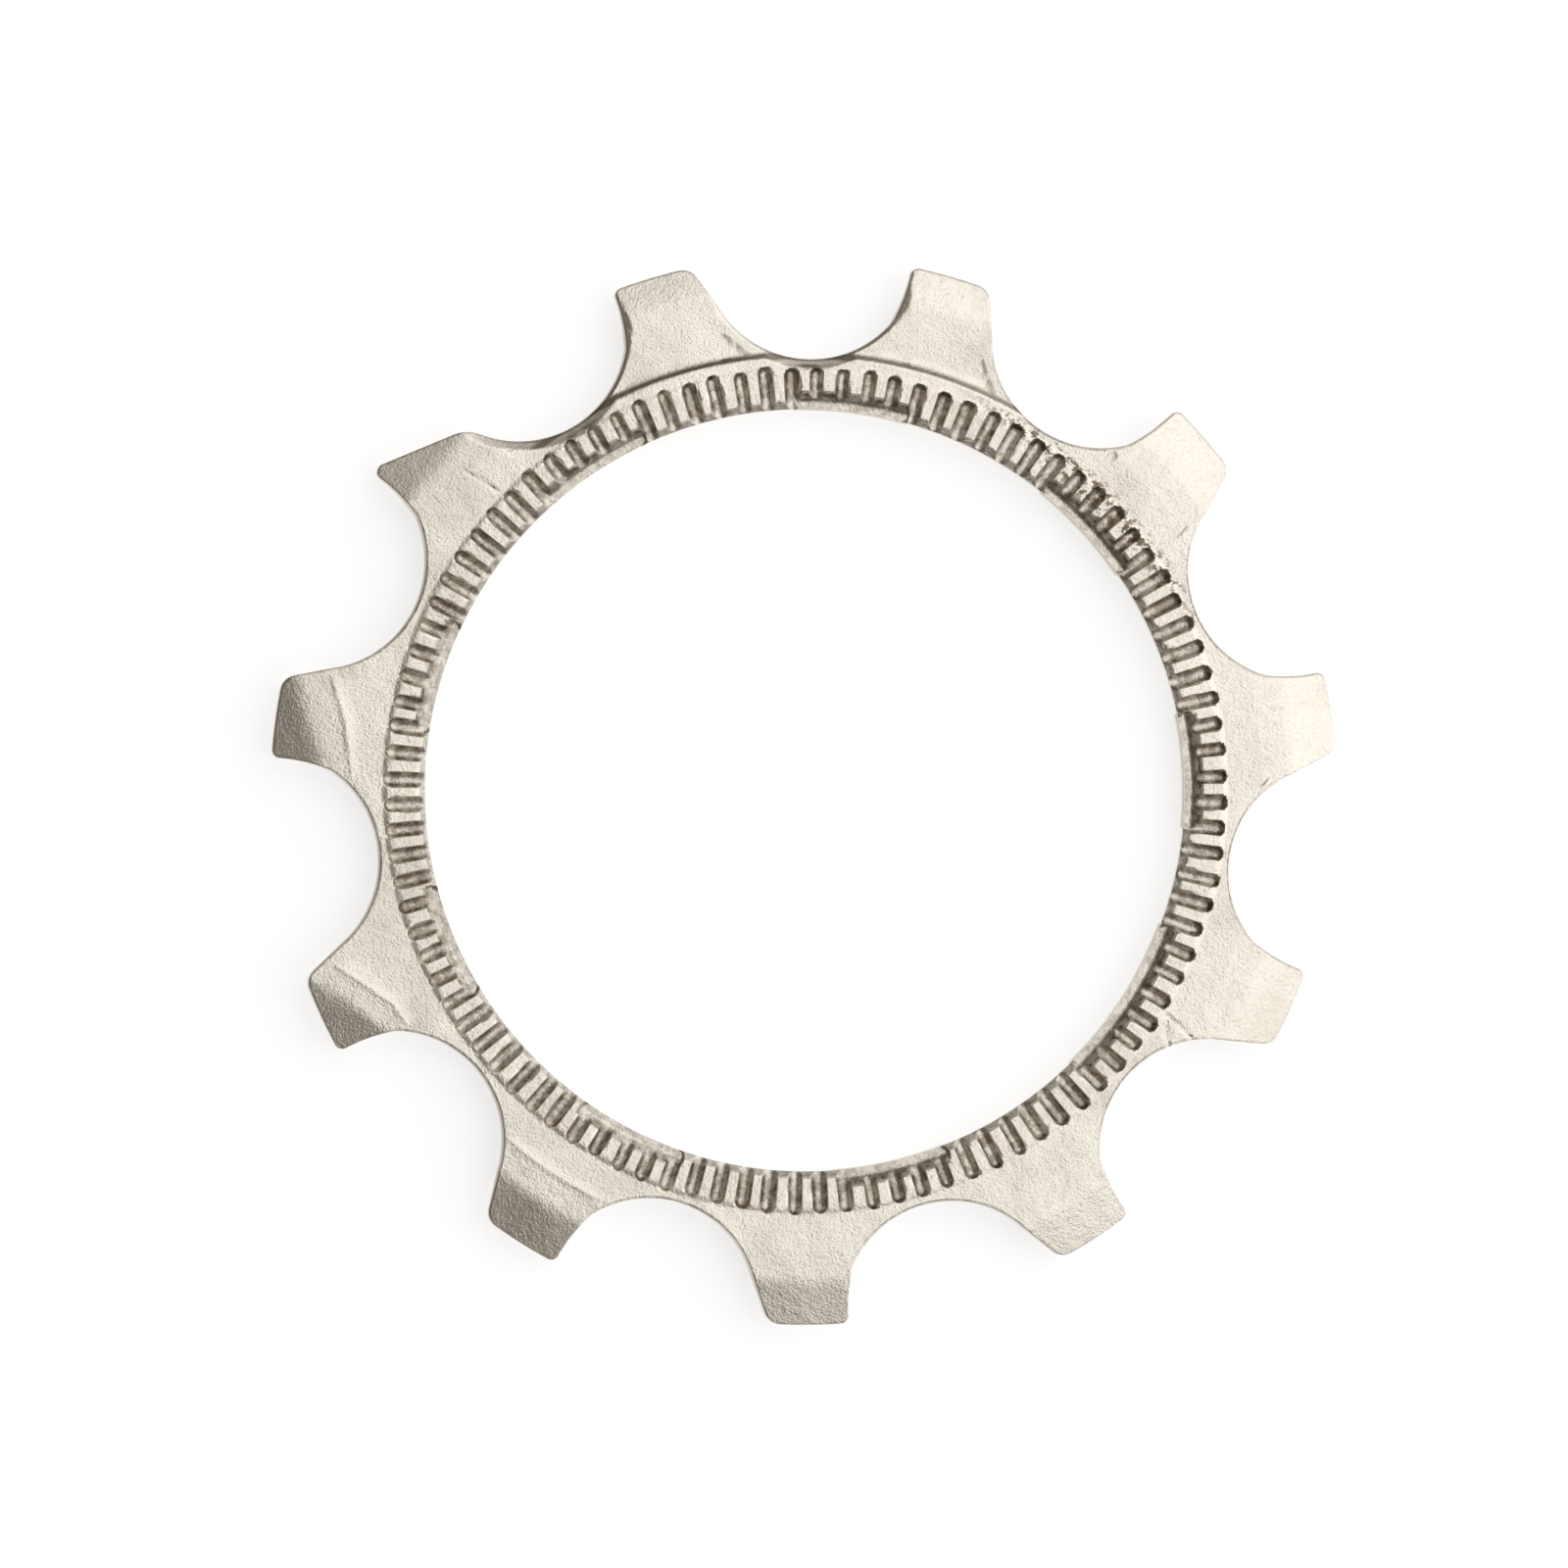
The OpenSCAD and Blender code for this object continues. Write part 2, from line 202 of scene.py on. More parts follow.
# how far towards the edge each row of the face may lie at most, and the shares of the rest for the others
FACE_MOST = (0.12, 0.24, 0.36, 0.48, 0.6, 0.72, 0.76, 0.8)
EDGE_PARTS = (0.08, 0.17, 0.26, 0.33, 0.4, 0.5, 0.64, 0.82, 1)
BACK_PARTS = (1, 0.8, 0.6, 0.5, 0.35, 0.12)
# the sections on each gap's flanks, before the gap's middle and after it
FLANK = (9, 9.35, 9.7, 10, 10.2, 10.35, 10.5, 10.6, 10.7, 10.8, 10.88, 10.94, 10.98, 11.01, 11.03, 11.06,
         11.12, 11.2, 11.3)
CORNER = (10.4, 10.6, 12.9, 13.1, 13.3, 13.5)


def turned(angle):
    """The angle brought to between minus and plus half a turn."""
    return (angle + np.pi) % (2 * np.pi) - np.pi


def way(angle):
    """The unit vector at an angle."""
    return np.array([np.cos(angle), np.sin(angle)])


def soft(x, w):
    """x where it is over w, nothing under -w, and the parabola that joins the two between."""
    return np.where(x > w, x, np.where(x < -w, 0, (x + w) ** 2 / (4 * w)))


def lower(a, b, w):
    """The lower of two heights, with the crease between them rounded over w."""
    return a - soft(a - b, w)


def scattered(k, seed):
    """A fixed number from -0.5 to 0.5 for each whole number k: the fraction of a large sine."""
    v = np.sin(k * 12.9898 + seed * 78.233) * 43758.5453
    return v - np.floor(v) - 0.5


def waves(x, y):
    """Slow waves, 1.5 to 2.5 mm long: two sines that cross, and the product of two more."""
    crossed = np.sin(2600 * x + 900 * y) + np.sin(2100 * y - 1500 * x + 2)
    return crossed + np.sin(4300 * x + 1) * np.sin(3900 * y)


def line_distance(x, y, a, b):
    """Distance from the line between two points, each given as an angle in degrees and a radius in mm."""
    p, q = (s[1] * MM * way(math.radians(s[0])) for s in (a, b))
    run = q - p
    whole = math.hypot(*run)
    run = run / whole
    along = np.clip((x - p[0]) * run[0] + (y - p[1]) * run[1], 0, whole)
    return np.hypot(x - p[0] - along * run[0], y - p[1] - along * run[1])


class Shape:
    """The plate's outline and heights, worked out from its sizes"""

    def __init__(self, plate):
        self.p = plate
        self.step = 2 * np.pi / TEETH
        self.root = plate.pitch / (2 * math.sin(np.pi / TEETH)) - plate.roller / 2
        self.face = plate.thick - plate.seat_rise
        self.seat_mid = np.array([self.root + plate.seat_arc, 0])
        self.steep_mid = self.seat_mid + plate.seat_arc * np.array([0.085, 0.506])
        self.slope_start = self.seat_mid + plate.seat_arc * np.array([-0.576, 0.814])
        self.slope_in = way(plate.slope_turn + np.pi / 2)

    def tooth(self, i):
        return self.p.first_tooth + i * self.step

    def gap(self, i):
        return self.tooth(i) + self.p.gap_turn

    def on_tooth(self, i, angle):
        """Whether each angle lies nearer to a tooth's middle than to the next tooth's."""
        return np.abs(turned(angle - self.tooth(i))) < self.step / 2

    def lug(self, i):
        """Middle and half angle of a lug."""
        extra = self.p.index_extra / 2 if i == INDEX_LUG else 0
        return self.p.first_lug + i * 2 * np.pi / LUGS + extra, self.p.lug_half + extra

    def corners(self):
        """Middle, rounding and flank side of the two rounding circles at the tips."""
        p = self.p
        c, d = p.tip - p.steep_corner, p.steep_arc + p.steep_corner
        m = math.hypot(*self.steep_mid)
        a = (c * c - d * d + m * m) / (2 * m)
        u = self.steep_mid / m
        steep = a * u + math.sqrt(c * c - a * a) * np.array([u[1], -u[0]])
        start, run = self.slope_start + p.slope_corner * self.slope_in, way(p.slope_turn)
        b, c = start @ run, p.tip - p.slope_corner
        slope = start + (math.sqrt(b * b - start @ start + c * c) - b) * run
        return ((steep, p.steep_corner, self.steep_mid - steep), (slope, p.slope_corner, -self.slope_in))

    def outline(self, angle):
        """Radius of the outline at each angle: where the ray from the bore's centre meets the roller's arc
        or the sloping line, and the steep arc if that is later, or else the tip circle, and no further than
        the far side of a corner's circle. One tooth is cut off straight."""
        p = self.p
        f = turned(np.mod(angle - self.gap(0) + self.step / 2, self.step) - self.step / 2)
        c, s = np.cos(f), np.sin(f)

        def crossing(mid, radius, side):
            """Where each ray meets a circle, on its near side (-1) or its far side (1), or else 1."""
            b = c * mid[0] + s * mid[1]
            q = b * b - mid @ mid + radius ** 2
            return np.where(q > 0, b + side * np.sqrt(np.maximum(q, 0)), 1)

        def rounded(r, mid, radius, u, v):
            """The radius, but on the far side of a circle between its directions u and v."""
            far = crossing(mid, radius, 1)
            x, y = far * c - mid[0], far * s - mid[1]
            k = u[0] * v[1] - u[1] * v[0]
            inside = (far < 1) & ((x * v[1] - y * v[0]) / k >= -1e-9) & ((u[0] * y - u[1] * x) / k >= -1e-9)
            return np.where(inside, np.minimum(r, far), r)

        fall = c * self.slope_in[0] + s * self.slope_in[1]
        slope = np.where(fall < 0, (self.slope_start @ self.slope_in) / np.where(fall < 0, fall, -1), 1)
        on_slope = f > math.atan2(self.slope_start[1], self.slope_start[0])
        near = np.where(on_slope, slope, crossing(self.seat_mid, p.seat_arc, -1))
        r = np.minimum(p.tip, np.maximum(near, crossing(self.steep_mid, p.steep_arc, -1)))
        for mid, radius, flank in self.corners():
            r = rounded(r, mid, radius, flank / math.hypot(*flank), mid / math.hypot(*mid))

        # from here on the rays are taken from the pointed tooth's middle
        f = turned(angle - self.tooth(POINTED))
        c, s = np.cos(f), np.sin(f)
        fall, side, turn, shoulder = POINT
        start, run = np.array([p.tip - fall * MM, side * MM]), way(math.radians(turn))
        out = way(math.radians(turn + 90))
        cut = start @ out / np.maximum(c * out[0] + s * out[1], 0.001)
        r = np.where((f > math.radians(-7)) & (f < math.radians(4)), np.minimum(r, cut), r)
        gap, whole = self.seat_mid[0] * way(p.gap_turn - self.step), shoulder * MM + p.seat_arc
        near = start - shoulder * MM * out - gap
        mid = gap + near - (near @ run + math.sqrt((near @ run) ** 2 - near @ near + whole ** 2)) * run
        return rounded(r, mid, shoulder * MM, out, (gap - mid) / whole)

    def crease(self, angle):
        """At each angle, the radius of the line where the face begins to fall away, the cosine of its lean
        and the height of the ridge on it. The line is round on most teeth. On two it is straight, and its
        end turns outwards where the ridge bends."""
        r, lean = np.full_like(angle, self.p.crease), np.ones_like(angle)
        high = np.where(self.on_tooth(RIDGED, angle), 1, 0)
        for i, turn, d, width, bend, end, off in OBLIQUE:
            own = self.on_tooth(i, angle)
            short = turned(self.tooth(i) + math.radians(turn) - angle)
            past = np.clip((math.radians(bend) - short) / math.radians(bend - end), 0, 1)
            lean = np.where(own, np.cos(short), lean)
            r = np.where(own, (d + off * past) * MM / lean, r)
            high = np.where(own, past < 1, high)
        clear = np.clip((self.outline(angle) - r - 0.45 * MM) / (0.3 * MM), 0, 1)
        return r, lean, high * clear * RIDGE_H * MM

    def sloped(self, x, y, r, angle):
        """The face and its two slopes towards the tips, with the ridges along the creases: a height that
        falls with the distance outside the crease, and faster past a second line."""
        p = self.p
        gentle, steep = math.tan(p.crease_slope), math.tan(p.bevel_slope)

        def fallen(out, width, ease):
            first = gentle * soft(out, SLOPE_EASE * MM)
            return self.face - first - (steep - gentle) * soft(out - width, ease * MM)

        z = fallen(r - p.crease, p.crease_w, BEVEL_EASE)
        for i, turn, d, width, *ridge in OBLIQUE:
            line = self.tooth(i) + math.radians(turn)
            out = x * math.cos(line) + y * math.sin(line) - d * MM
            z = np.where(self.on_tooth(i, angle), fallen(out, width * MM, OBLIQUE_EASE), z)
        line, lean, high = self.crease(angle)
        return z + high * np.maximum(0, 1 - np.abs(r - line) * lean / (RIDGE_W * MM))

    def lowered(self, z, r, angle):
        """The two teeth from the first gap to the third, lowered past a step."""
        rise = self.p.seat_rise
        past = (r - RECESS_R * MM + rise) / (RECESS_DEPTH * MM + rise)
        low = self.face - RECESS_DEPTH * MM * np.clip(past, 0, 1)
        return np.where((angle > self.gap(0)) & (angle < self.gap(2)), lower(z, low, STEP_EASE * MM), z)

    def seated(self, z, r):
        """The seat round the bore, its outer edge eased over 0.22 mm."""
        p = self.p
        seat = self.face + p.seat_rise * np.clip((p.seat + 0.2 * MM - r) / (0.22 * MM), 0, 1)
        return np.where(r < p.seat + 0.3 * MM, np.maximum(z, seat), z)

    def bevelled(self, z, x, y):
        """The bevels along two of the gaps, rising with the distance from the roller's arc."""
        for i in (1, 2):
            mid = self.seat_mid[0] * way(self.gap(i))
            past = np.hypot(x - mid[0], y - mid[1]) - self.p.seat_arc
            z = lower(z, self.face + (past - GAP_BEVEL * MM) / GAP_STEEPNESS, STEP_EASE * MM)
        return z

    def scratched(self, z, x, y):
        """The scratches: parts of round grooves, a quarter as deep as they are wide."""
        half = SCRATCH_W / 2 * MM
        for a, b in SCRATCHES:
            off = line_distance(x, y, a, b)
            dip = half / 2 - np.sqrt(np.maximum(half ** 2 - off ** 2, 0))
            z = np.where(off < half, np.minimum(z, self.face + dip), z)
        return z

    def relieved(self, z, r, angle):
        """The reliefs in front of the lugs, each with a flat floor, a sloping wall and rounded ends."""
        p = self.p
        rise = p.relief_depth / (p.relief_top - p.relief_floor)
        wall = p.thick - p.relief_depth + np.maximum(r - p.relief_floor, 0) * rise
        for i in range(LUGS):
            mid, half = self.lug(i)
            past = (np.abs(turned(angle - mid)) - half) * r + p.relief_end
            end = np.hypot(np.maximum(past, 0), r - p.relief_floor)
            share = np.where(past < 0, 1, np.clip((p.relief_end - end) / (0.05 * MM) + 0.5, 0, 1))
            z = z + share * (lower(z, wall, CUT_EASE * MM) - z)
        return z

    def grooved(self, z, r, angle):
        """The grooves of the seat: round sections with round ends, each a little off in place, width and
        length."""
        p = self.p
        turn = 2 * np.pi / p.grooves
        k = np.round((angle - p.first_groove) / turn)
        j = k % p.grooves
        off = turned(angle - p.first_groove - k * turn - 0.0044 * p.uneven * scattered(j, 1))
        radius = p.groove * (1 + 0.18 * p.uneven * scattered(j, 2))
        end = p.groove_end + 0.14 * MM * p.uneven * scattered(j, 3)
        across = np.hypot(np.maximum(r * np.cos(off) - end + radius, 0), r * np.sin(off))
        dip = p.thick - np.sqrt(np.maximum(radius ** 2 - across ** 2, 0))
        return np.where((r < p.groove_end + 0.3 * MM) & (across < radius), np.minimum(z, dip), z)

    def front(self, x, y):
        """Height of the front: the sloping face, with each further form taken in turn as the higher or the
        lower of two heights."""
        p = self.p
        r, angle = np.hypot(x, y), np.arctan2(y, x) % (2 * np.pi)
        z = self.lowered(self.sloped(x, y, r, angle), r, angle)
        z = self.bevelled(self.seated(z, r), x, y)
        z = np.minimum(z - WAVE_H * MM * waves(x, y), p.thick)
        z = self.scratched(z, x, y)
        z = lower(z, p.thick - p.bore_bevel + r - p.bore, CUT_EASE * MM)
        return self.grooved(self.relieved(z, r, angle), r, angle)

    def back(self, x, y):
        """Height of the back: flat, and rising towards the tips."""
        p = self.p
        return math.tan(p.bevel_slope) * soft(np.hypot(x, y) - p.crease - p.crease_w, BEVEL_EASE * MM)

    def columns(self):
        """Angles of the sections: 16 to a groove, closer on the flanks and corners, and a pair at each of
        the lugs' sides."""
        gaps = self.gap(np.arange(TEETH))[:, None]
        flanks, corners = gaps - np.radians(FLANK), gaps + np.radians(CORNER)
        count = 16 * self.p.grooves
        even = self.p.first_groove + np.arange(count) * 2 * np.pi / count
        plain = np.concatenate([even, flanks.ravel(), corners.ravel()])
        ends = [mid + side * half for mid, half in map(self.lug, range(LUGS)) for side in (-1, 1)]
        sides = np.array([end + e for end in ends for e in (-0.00026, 0.00026)])
        clear = np.abs(turned(plain[:, None] - sides[None])).min(1) > 0.0005
        plain = np.sort(plain[clear] % (2 * np.pi))
        plain = plain[np.diff(plain, append=plain[0] + 2 * np.pi) > 0.0005]
        return np.sort(np.concatenate([plain, sides % (2 * np.pi)]))

    def face_shares(self, angle, first, whole):
        """How far towards the edge each row of the face lies at each angle, outwards from the radius of the
        seat's last row: first at a distance of its own, or on the crease or beside it, where there is room,
        and then at even shares of the rest."""
        line, w = self.crease(angle)[0], RIDGE_W * MM
        own = [first + d * MM for d in FACE_ROWS]
        own += [(own[-1] + line - w) / 2, line - w, line, line + w]
        shares = [np.minimum((r - first) / whole, most) for r, most in zip(own, FACE_MOST)]
        return shares + [shares[-1] + (1 - shares[-1]) * part for part in EDGE_PARTS]


def shade_marks(x, y):
    """How dark the painted shade on the face is at each point: even along the strokes' middles, and fading
    sideways.
    """
    dark = [np.clip(1.2 - 1.6 * line_distance(x, y, a, b) / (w * MM), 0, 0.7) for a, b, w in SHADE_MARKS]
    return np.max(dark, 0)


def plate_grid(p):
    """The whole plate as one closed grid, rows by columns, of points and of how much painted shade each has.
    A column
    is the section at one angle: along the front from the bore to the outline, over the rounded edge, down the
    outer wall, back along the back, and up the lug or round the spline groove to the start."""
    shape = Shape(p)
    angle = shape.columns()
    ray = way(angle).T
    rim = shape.outline(angle)[:, None] * ray
    along = np.roll(rim, -1, 0) - np.roll(rim, 1, 0)
    out = np.stack([along[:, 1], -along[:, 0]], 1) / np.hypot(*along.T)[:, None]

    near = p.bore + np.array(SEAT_ROWS) * MM
    start, end = near[-1] * ray, rim - p.edge * out
    shares = shape.face_shares(angle, near[-1], np.hypot(*end.T) - near[-1])
    flat = [r * ray for r in near] + [start + (end - start) * share[:, None] for share in shares]
    flat.insert(-1, end - 0.06 * MM * out)
    rows = [np.column_stack([q, shape.front(*q.T)]) for q in flat]

    top, bottom = rows[-1][:, 2], shape.back(*rim.T)
    cut = 0.3 * p.edge
    for inset, z in ((cut, top - cut), (0, top - p.edge), (0, bottom + p.edge), (cut, bottom + cut)):
        rows.append(np.column_stack([rim - inset * out, z]))
    for share in BACK_PARTS:
        q = start + (end - start) * share
        rows.append(np.column_stack([q, shape.back(*q.T)]))

    lug = np.zeros(len(angle), bool)
    for i in range(LUGS):
        mid, half = shape.lug(i)
        lug |= np.abs(turned(angle - mid)) <= half
    inner = np.where(lug, p.bore - p.lug_rise, p.spline)[:, None]
    high = np.where(lug, p.lug_depth, p.spline_depth)
    blunt = 0.03 * MM
    for r, z in ((inner + blunt, 0 * high), (inner, 0 * high + blunt), (inner, high), (p.bore, high)):
        rows.append(np.column_stack([r * ray, z]))

    # painted shade kept with the points: the dark strokes on the face, and the outer edges, darker on one
    # side
    painted_shade = np.zeros((len(rows), len(angle)))
    painted_shade[:len(flat)] = [shade_marks(*q.T) for q in flat]
    dark = 0.6 * np.clip(out @ way(math.radians(DARK_EDGE)) + 0.45, 0.1, 1)
    painted_shade[len(flat) - 1:len(flat) + 3] = np.outer(EDGE_SHADE, dark)
    return np.array(rows), painted_shade


def closed_mesh(name, grid, painted_shade):
    """A mesh from a grid of points whose rows and columns both run round to their start, with the painted
    shade kept as an attribute of the points."""
    rows, columns = grid.shape[:2]
    count = rows * columns
    i, j = np.arange(rows)[:, None], np.arange(columns)[None]
    below, beside = (i + 1) % rows, (j + 1) % columns
    quads = [i * columns + j, below * columns + j, below * columns + beside, i * columns + beside]
    mesh = bpy.data.meshes.new(name)
    mesh.vertices.add(count)
    mesh.vertices.foreach_set("co", grid.astype(np.float32).ravel())
    mesh.loops.add(4 * count)
    mesh.loops.foreach_set("vertex_index", np.stack(quads, -1).astype(np.int32).ravel())
    mesh.polygons.add(count)
    mesh.polygons.foreach_set("loop_start", np.arange(0, 4 * count, 4, dtype=np.int32))
    mesh.update(calc_edges=True)
    mesh.validate()
    # the painted shade, kept with the points for the material
    mesh.attributes.new("painted_shade", "FLOAT", "POINT").data.foreach_set("value", painted_shade.astype(np.float32).ravel())
    mesh.shade_smooth()
    mesh.set_sharp_from_angle(angle=math.radians(38))
    return mesh


class Nodes:
    """The shader nodes of one material, each added at its place in the editor"""

    def __init__(self, material):
        material.use_nodes = True
        self.tree = material.node_tree
        self.tree.nodes.clear()
        output = self.add("ShaderNodeOutputMaterial", (900, 0))
        self.shader = self.add("ShaderNodeBsdfPrincipled", (600, 0))
        self.join(self.shader.outputs[0], output.inputs[0])

    def add(self, kind, at, **settings):
        """A node with these settings."""
        made = self.tree.nodes.new(kind)
        made.location = at
        for name, value in settings.items():
            setattr(made, name, value)
        return made

    def join(self, value, socket):
        """Link a socket to another node's output, or give it a value of its own."""
        if isinstance(value, bpy.types.NodeSocket):
            self.tree.links.new(value, socket)
        else:
            socket.default_value = value

    def noise(self, at, place, width, detail, roughness):
        """A noise whose features are this wide, in metres."""
        made = self.add("ShaderNodeTexNoise", at)
        self.join(place, made.inputs["Vector"])
        self.join(1 / width, made.inputs["Scale"])
        self.join(detail, made.inputs["Detail"])
        self.join(roughness, made.inputs["Roughness"])
        return made.outputs[0]

    def spread(self, at, value, low, high, bottom=0.0, top=1.0):
        """The value from low to high, brought to between bottom and top."""
        made = self.add("ShaderNodeMapRange", at)
        for socket, given in zip(made.inputs, (value, low, high, bottom, top)):
            self.join(given, socket)
        return made.outputs[0]

    def maths(self, at, operation, a, b):
        """Two values put together."""
        made = self.add("ShaderNodeMath", at, operation=operation)
        self.join(a, made.inputs[0])
        self.join(b, made.inputs[1])
        return made.outputs[0]

    def vector(self, at, operation, a, b=(0, 0, 0)):
        """The node of two vectors put together."""
        made = self.add("ShaderNodeVectorMath", at, operation=operation)
        self.join(a, made.inputs[0])
        self.join(b, made.inputs[1])
        return made

    def mixed(self, at, share, a, b):
        """The colour a share of the way from a to b."""
        made = self.add("ShaderNodeMix", at, data_type="RGBA")
        for number, value in ((0, share), (6, a), (7, b)):
            self.join(value, made.inputs[number])
        return made.outputs[2]


def residue_and_shade(n, p, look, place, smudge):
    """How dark each point is painted, from 0 to 1, with residue and painted shade: patchy on the grooves'
    walls and outer ends, where it is partly residue and partly painted shade, less on their floors, little on
    the bore's bevel, and painted shade along the step down to the two lowered teeth. Residue is smeared past
    the ends of the grooves on one side, and none of this is on the back. The painted shade kept with the
    points is added."""
    face, end, bevel, step_r = p.thick - p.seat_rise, p.groove_end, p.bore + p.bore_bevel, RECESS_R * MM
    across = n.vector((-1300, -700), "MULTIPLY", place, (1, 1, 0)).outputs[0]
    radius = n.vector((-1100, -700), "LENGTH", across).outputs["Value"]
    parts = n.add("ShaderNodeSeparateXYZ", (-1300, -500))
    n.join(place, parts.inputs[0])
    height = parts.outputs["Z"]

    # the grooves' walls and outer ends: partly residue, partly painted shade
    seat = n.spread((-900, -700), radius, end + 0.16 * MM, end + 0.01 * MM)
    inner = n.spread((-900, -800), radius, bevel - 0.06 * MM, bevel + 0.08 * MM, 0.6, 1.0)
    wall = n.spread((-900, -450), height, face - 0.005 * MM, face - 0.06 * MM)
    floor = n.spread((-900, -550), height, p.thick - 0.18 * MM, p.thick - 0.3 * MM, 1.0, 0.7)
    ends = n.spread((-900, -620), radius, end - 0.39 * MM, end - 0.14 * MM)
    patch = n.spread((-900, -200), smudge, 0.42, 0.58, 0.35, 1.0)
    ring = n.maths((-700, -700), "MULTIPLY", seat, inner)
    floor = n.maths((-700, -600), "MAXIMUM", floor, ends)
    held = n.maths((-500, -500), "MULTIPLY", n.maths((-700, -500), "MULTIPLY", wall, floor),
                   n.maths((-700, -300), "MULTIPLY", ring, patch))

    # painted shade along the step down to the two lowered teeth
    inside = n.spread((-900, -900), radius, step_r - 0.18 * MM, step_r - 0.1 * MM)
    outside = n.spread((-900, -1000), radius, step_r + 0.28 * MM, step_r + 0.12 * MM)
    below = n.spread((-700, -1000), height, face - 0.01 * MM, face - 0.05 * MM, 0.0, 0.75)
    step = n.maths((-500, -900), "MULTIPLY", n.maths((-700, -900), "MULTIPLY", inside, outside), below)
    held = n.maths((-300, -600), "MAXIMUM", held, step)

    side = n.vector((-1300, -1200), "DOT_PRODUCT", place, (math.cos(look.smeared), math.sin(look.smeared), 0))
    there = n.spread((-1100, -1200), side.outputs["Value"], p.bore + 0.5 * MM, p.bore + 1.1 * MM)
    close = n.spread((-1100, -1300), radius, end + 0.41 * MM, end + 0.01 * MM)
    smear = n.maths((-700, -1200), "MULTIPLY", n.maths((-900, -1200), "MULTIPLY", there, close),
                    n.spread((-900, -1300), smudge, 0.49, 0.56))
    front = n.spread((-500, -1500), height, p.thick - 0.6 * MM, p.thick - 0.45 * MM)
    held = n.maths((-300, -1200), "MULTIPLY", n.maths((-500, -1200), "MAXIMUM", held, smear), front)
    # the painted shade kept with the points
    painted_shade = n.add("ShaderNodeAttribute", (-900, -1400), attribute_name="painted_shade").outputs["Fac"]
    return n.maths((-150, -600), "MAXIMUM", held, painted_shade)


def satin_nickel(look, p):
    """Satin nickel: a metal whose colour is broken by soft stains, fine flecks, dark residue and painted
    shade, with a blasted grain in its bump and its roughness."""
    made = bpy.data.materials.new("satin_nickel")
    n = Nodes(made)
    place = n.add("ShaderNodeTexCoord", (-1500, 0)).outputs["Object"]
    stain = n.noise((-1200, 400), place, look.stain, 5.0, 0.6)
    grain = n.noise((-1200, 100), place, look.grain, 2.0, 0.6)
    smudge = n.noise((-1200, -200), place, 4 * look.grain, 3.0, 0.7)

    flecks = n.maths((-700, 200), "ADD", n.spread((-900, 200), grain, 0.52, 0.7, 0.0, 0.25),
                     n.spread((-900, 0), smudge, 0.54, 0.7, 0.0, 0.2))
    dull = n.maths((-550, 300), "ADD", n.spread((-900, 400), stain, 0.48, 0.75, 0.0, 0.35), flecks)
    clean = n.mixed((-400, 400), dull, (*look.nickel, 1), (*look.shade, 1))
    # residue and painted shade, mixed in with the grime colour
    held = residue_and_shade(n, p, look, place, smudge)
    colours = n.mixed((-100, 200), held, clean, (*look.grime_and_shade, 1))
    rough = n.maths((100, -100), "ADD",
                    n.spread((-200, -100), stain, 0.3, 0.7, look.rough - 0.08, look.rough + 0.04),
                    n.spread((-200, -250), grain, 0.35, 0.7, 0.0, 0.1))
    bump = n.add("ShaderNodeBump", (300, -300))
    coarse = n.maths((-100, -400), "MULTIPLY", smudge, 1.5)
    n.join(n.maths((100, -350), "ADD", grain, coarse), bump.inputs["Height"])
    n.join(1.0, bump.inputs["Strength"])
    n.join(look.grain_height, bump.inputs["Distance"])
    n.join(1.0, n.shader.inputs["Metallic"])
    n.join(colours, n.shader.inputs["Base Color"])
    n.join(rough, n.shader.inputs["Roughness"])
    n.join(bump.outputs[0], n.shader.inputs["Normal"])
    return made


def white_floor():
    """A grey floor that catches the plate's shadow, lifted to white where the camera sees it, straight or
    in the metal."""
    made = bpy.data.materials.new("white_floor")
    n = Nodes(made)
    path = n.add("ShaderNodeLightPath", (-700, -200)).outputs
    seen = n.maths((-500, -200), "MAXIMUM", path["Is Camera Ray"], path["Is Glossy Ray"])
    seen = n.maths((-350, -200), "MAXIMUM", seen, path["Is Transmission Ray"])
    lift = n.maths((-200, -200), "MULTIPLY", seen, 0.72)
    n.join((0.5, 0.5, 0.5, 1), n.shader.inputs["Base Color"])
    n.join(0.9, n.shader.inputs["Roughness"])
    n.join((1, 1, 1, 1), n.shader.inputs["Emission Color"])
    n.join(lift, n.shader.inputs["Emission Strength"])
    return made


class COG_OT_plate(bpy.types.Operator):
    """Build the toothed plate as one closed surface, in satin nickel"""

    bl_idname = "cog.plate"
    bl_label = "Toothed plate"

    def execute(self, context):
        sizes = context.scene.cog_plate
        mesh = closed_mesh("toothed_plate", *plate_grid(sizes))
        mesh.materials.append(satin_nickel(context.scene.cog_finish, sizes))
        plate = bpy.data.objects.new("toothed_plate", mesh)
        context.scene.collection.objects.link(plate)
        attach(plate, "root")
        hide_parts("cog")
        return {"FINISHED"}


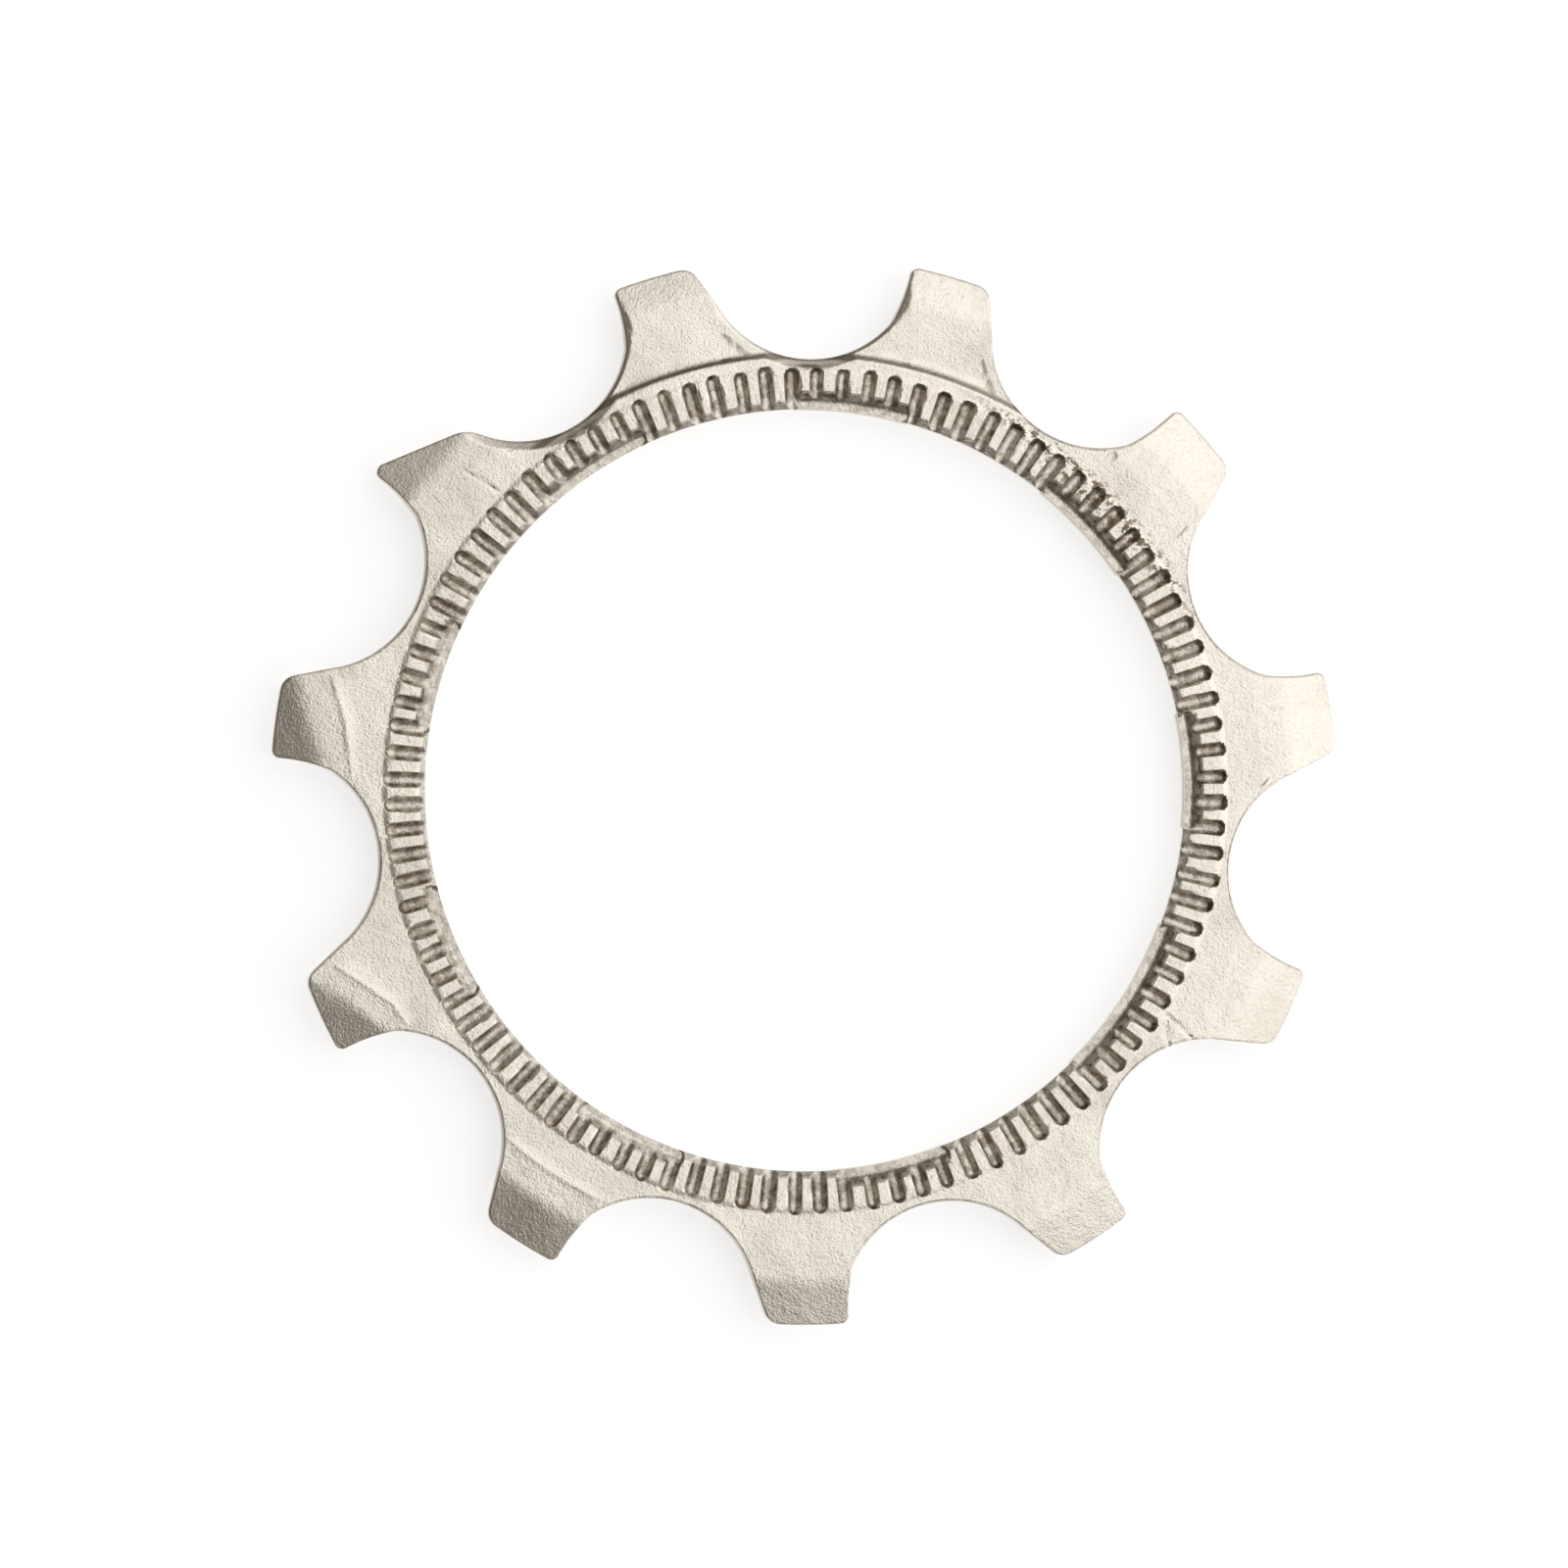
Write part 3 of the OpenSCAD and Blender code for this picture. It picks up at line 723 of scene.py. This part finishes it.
class COG_OT_stage(bpy.types.Operator):
    """Add the floor, the lamps and the camera"""

    bl_idname = "cog.stage"
    bl_label = "Stage"

    def execute(self, context):
        stage = context.scene.cog_stage
        self.floor(context, stage)
        self.lamps(context, stage)
        self.camera(context, stage)
        context.scene.view_settings.view_transform = "Standard"
        return {"FINISHED"}

    def floor(self, context, stage):
        """The floor, a hair below the plate's back."""
        half = stage.floor / 2
        corners = [(-half, -half, 0), (half, -half, 0), (half, half, 0), (-half, half, 0)]
        mesh = bpy.data.meshes.new("floor")
        mesh.from_pydata(corners, [], [(0, 1, 2, 3)])
        mesh.materials.append(white_floor())
        sheet = bpy.data.objects.new("floor", mesh)
        sheet.location.z = cog_low.z - 0.02 * MM
        context.scene.collection.objects.link(sheet)

    def lamps(self, context, stage):
        """Even light from the room, and one large square lamp on the right."""
        world = bpy.data.worlds.new("room")
        context.scene.world = world
        world.use_nodes = True
        world.node_tree.nodes["Background"].inputs[0].default_value = (*stage.room, 1)
        lamp = bpy.data.lights.new("key", "AREA")
        lamp.shape = "SQUARE"
        lamp.size = stage.key_size
        lamp.energy = stage.key
        key = bpy.data.objects.new("key", lamp)
        turn, lean = stage.key_turn, stage.key_lean
        side = math.sin(lean)
        towards = Vector((side * math.cos(turn), side * math.sin(turn), math.cos(lean)))
        key.location = stage.key_distance * towards
        key.rotation_euler = towards.to_track_quat("Z", "Y").to_euler()
        context.scene.collection.objects.link(key)

    def camera(self, context, stage):
        """The camera, tilted off the bore's axis, with the axis off the image's middle."""
        left, down = stage.tilt_left, stage.tilt_down
        level = math.cos(down)
        back = Vector((-math.sin(left) * level, -math.sin(down), math.cos(left) * level)).normalized()
        up = Vector((-math.sin(stage.roll), math.cos(stage.roll), 0))
        right = up.cross(back).normalized()
        up = back.cross(right)
        middle = Vector((0, 0, (cog_low.z + cog_high.z) / 2))
        middle += stage.pixel * (stage.down * up - stage.right * right)
        lens = bpy.data.cameras.new("camera")
        lens.sensor_width = 36
        lens.lens = lens.sensor_width * stage.distance / (1600 * stage.pixel)
        lens.clip_start = 10 * MM
        camera = bpy.data.objects.new("camera", lens)
        placed = Matrix((right, up, back)).transposed().to_4x4()
        placed.translation = middle + stage.distance * back
        camera.matrix_world = placed
        context.scene.collection.objects.link(camera)
        context.scene.camera = camera


class COG_PT_steps(bpy.types.Panel):
    """The steps that finish the cog"""

    bl_label = "Cog"
    bl_idname = "COG_PT_steps"
    bl_space_type = "VIEW_3D"
    bl_region_type = "UI"
    bl_category = "Cog"

    def draw(self, context):
        for step in STEPS:
            self.layout.operator(step.bl_idname)
        for group in (context.scene.cog_plate, context.scene.cog_finish, context.scene.cog_stage):
            box = self.layout.box()
            for name in group.__annotations__:
                box.prop(group, name)


STEPS = (COG_OT_plate, COG_OT_stage)
CLASSES = (CogPlate, CogFinish, CogStage, *STEPS, COG_PT_steps)


def register():
    for made in CLASSES:
        bpy.utils.register_class(made)
    bpy.types.Scene.cog_plate = bpy.props.PointerProperty(type=CogPlate)
    bpy.types.Scene.cog_finish = bpy.props.PointerProperty(type=CogFinish)
    bpy.types.Scene.cog_stage = bpy.props.PointerProperty(type=CogStage)


def unregister():
    del bpy.types.Scene.cog_stage
    del bpy.types.Scene.cog_finish
    del bpy.types.Scene.cog_plate
    for made in reversed(CLASSES):
        bpy.utils.unregister_class(made)


def main():
    register()
    bpy.ops.cog.plate()
    bpy.ops.cog.stage()


if __name__ == "__main__":
    main()
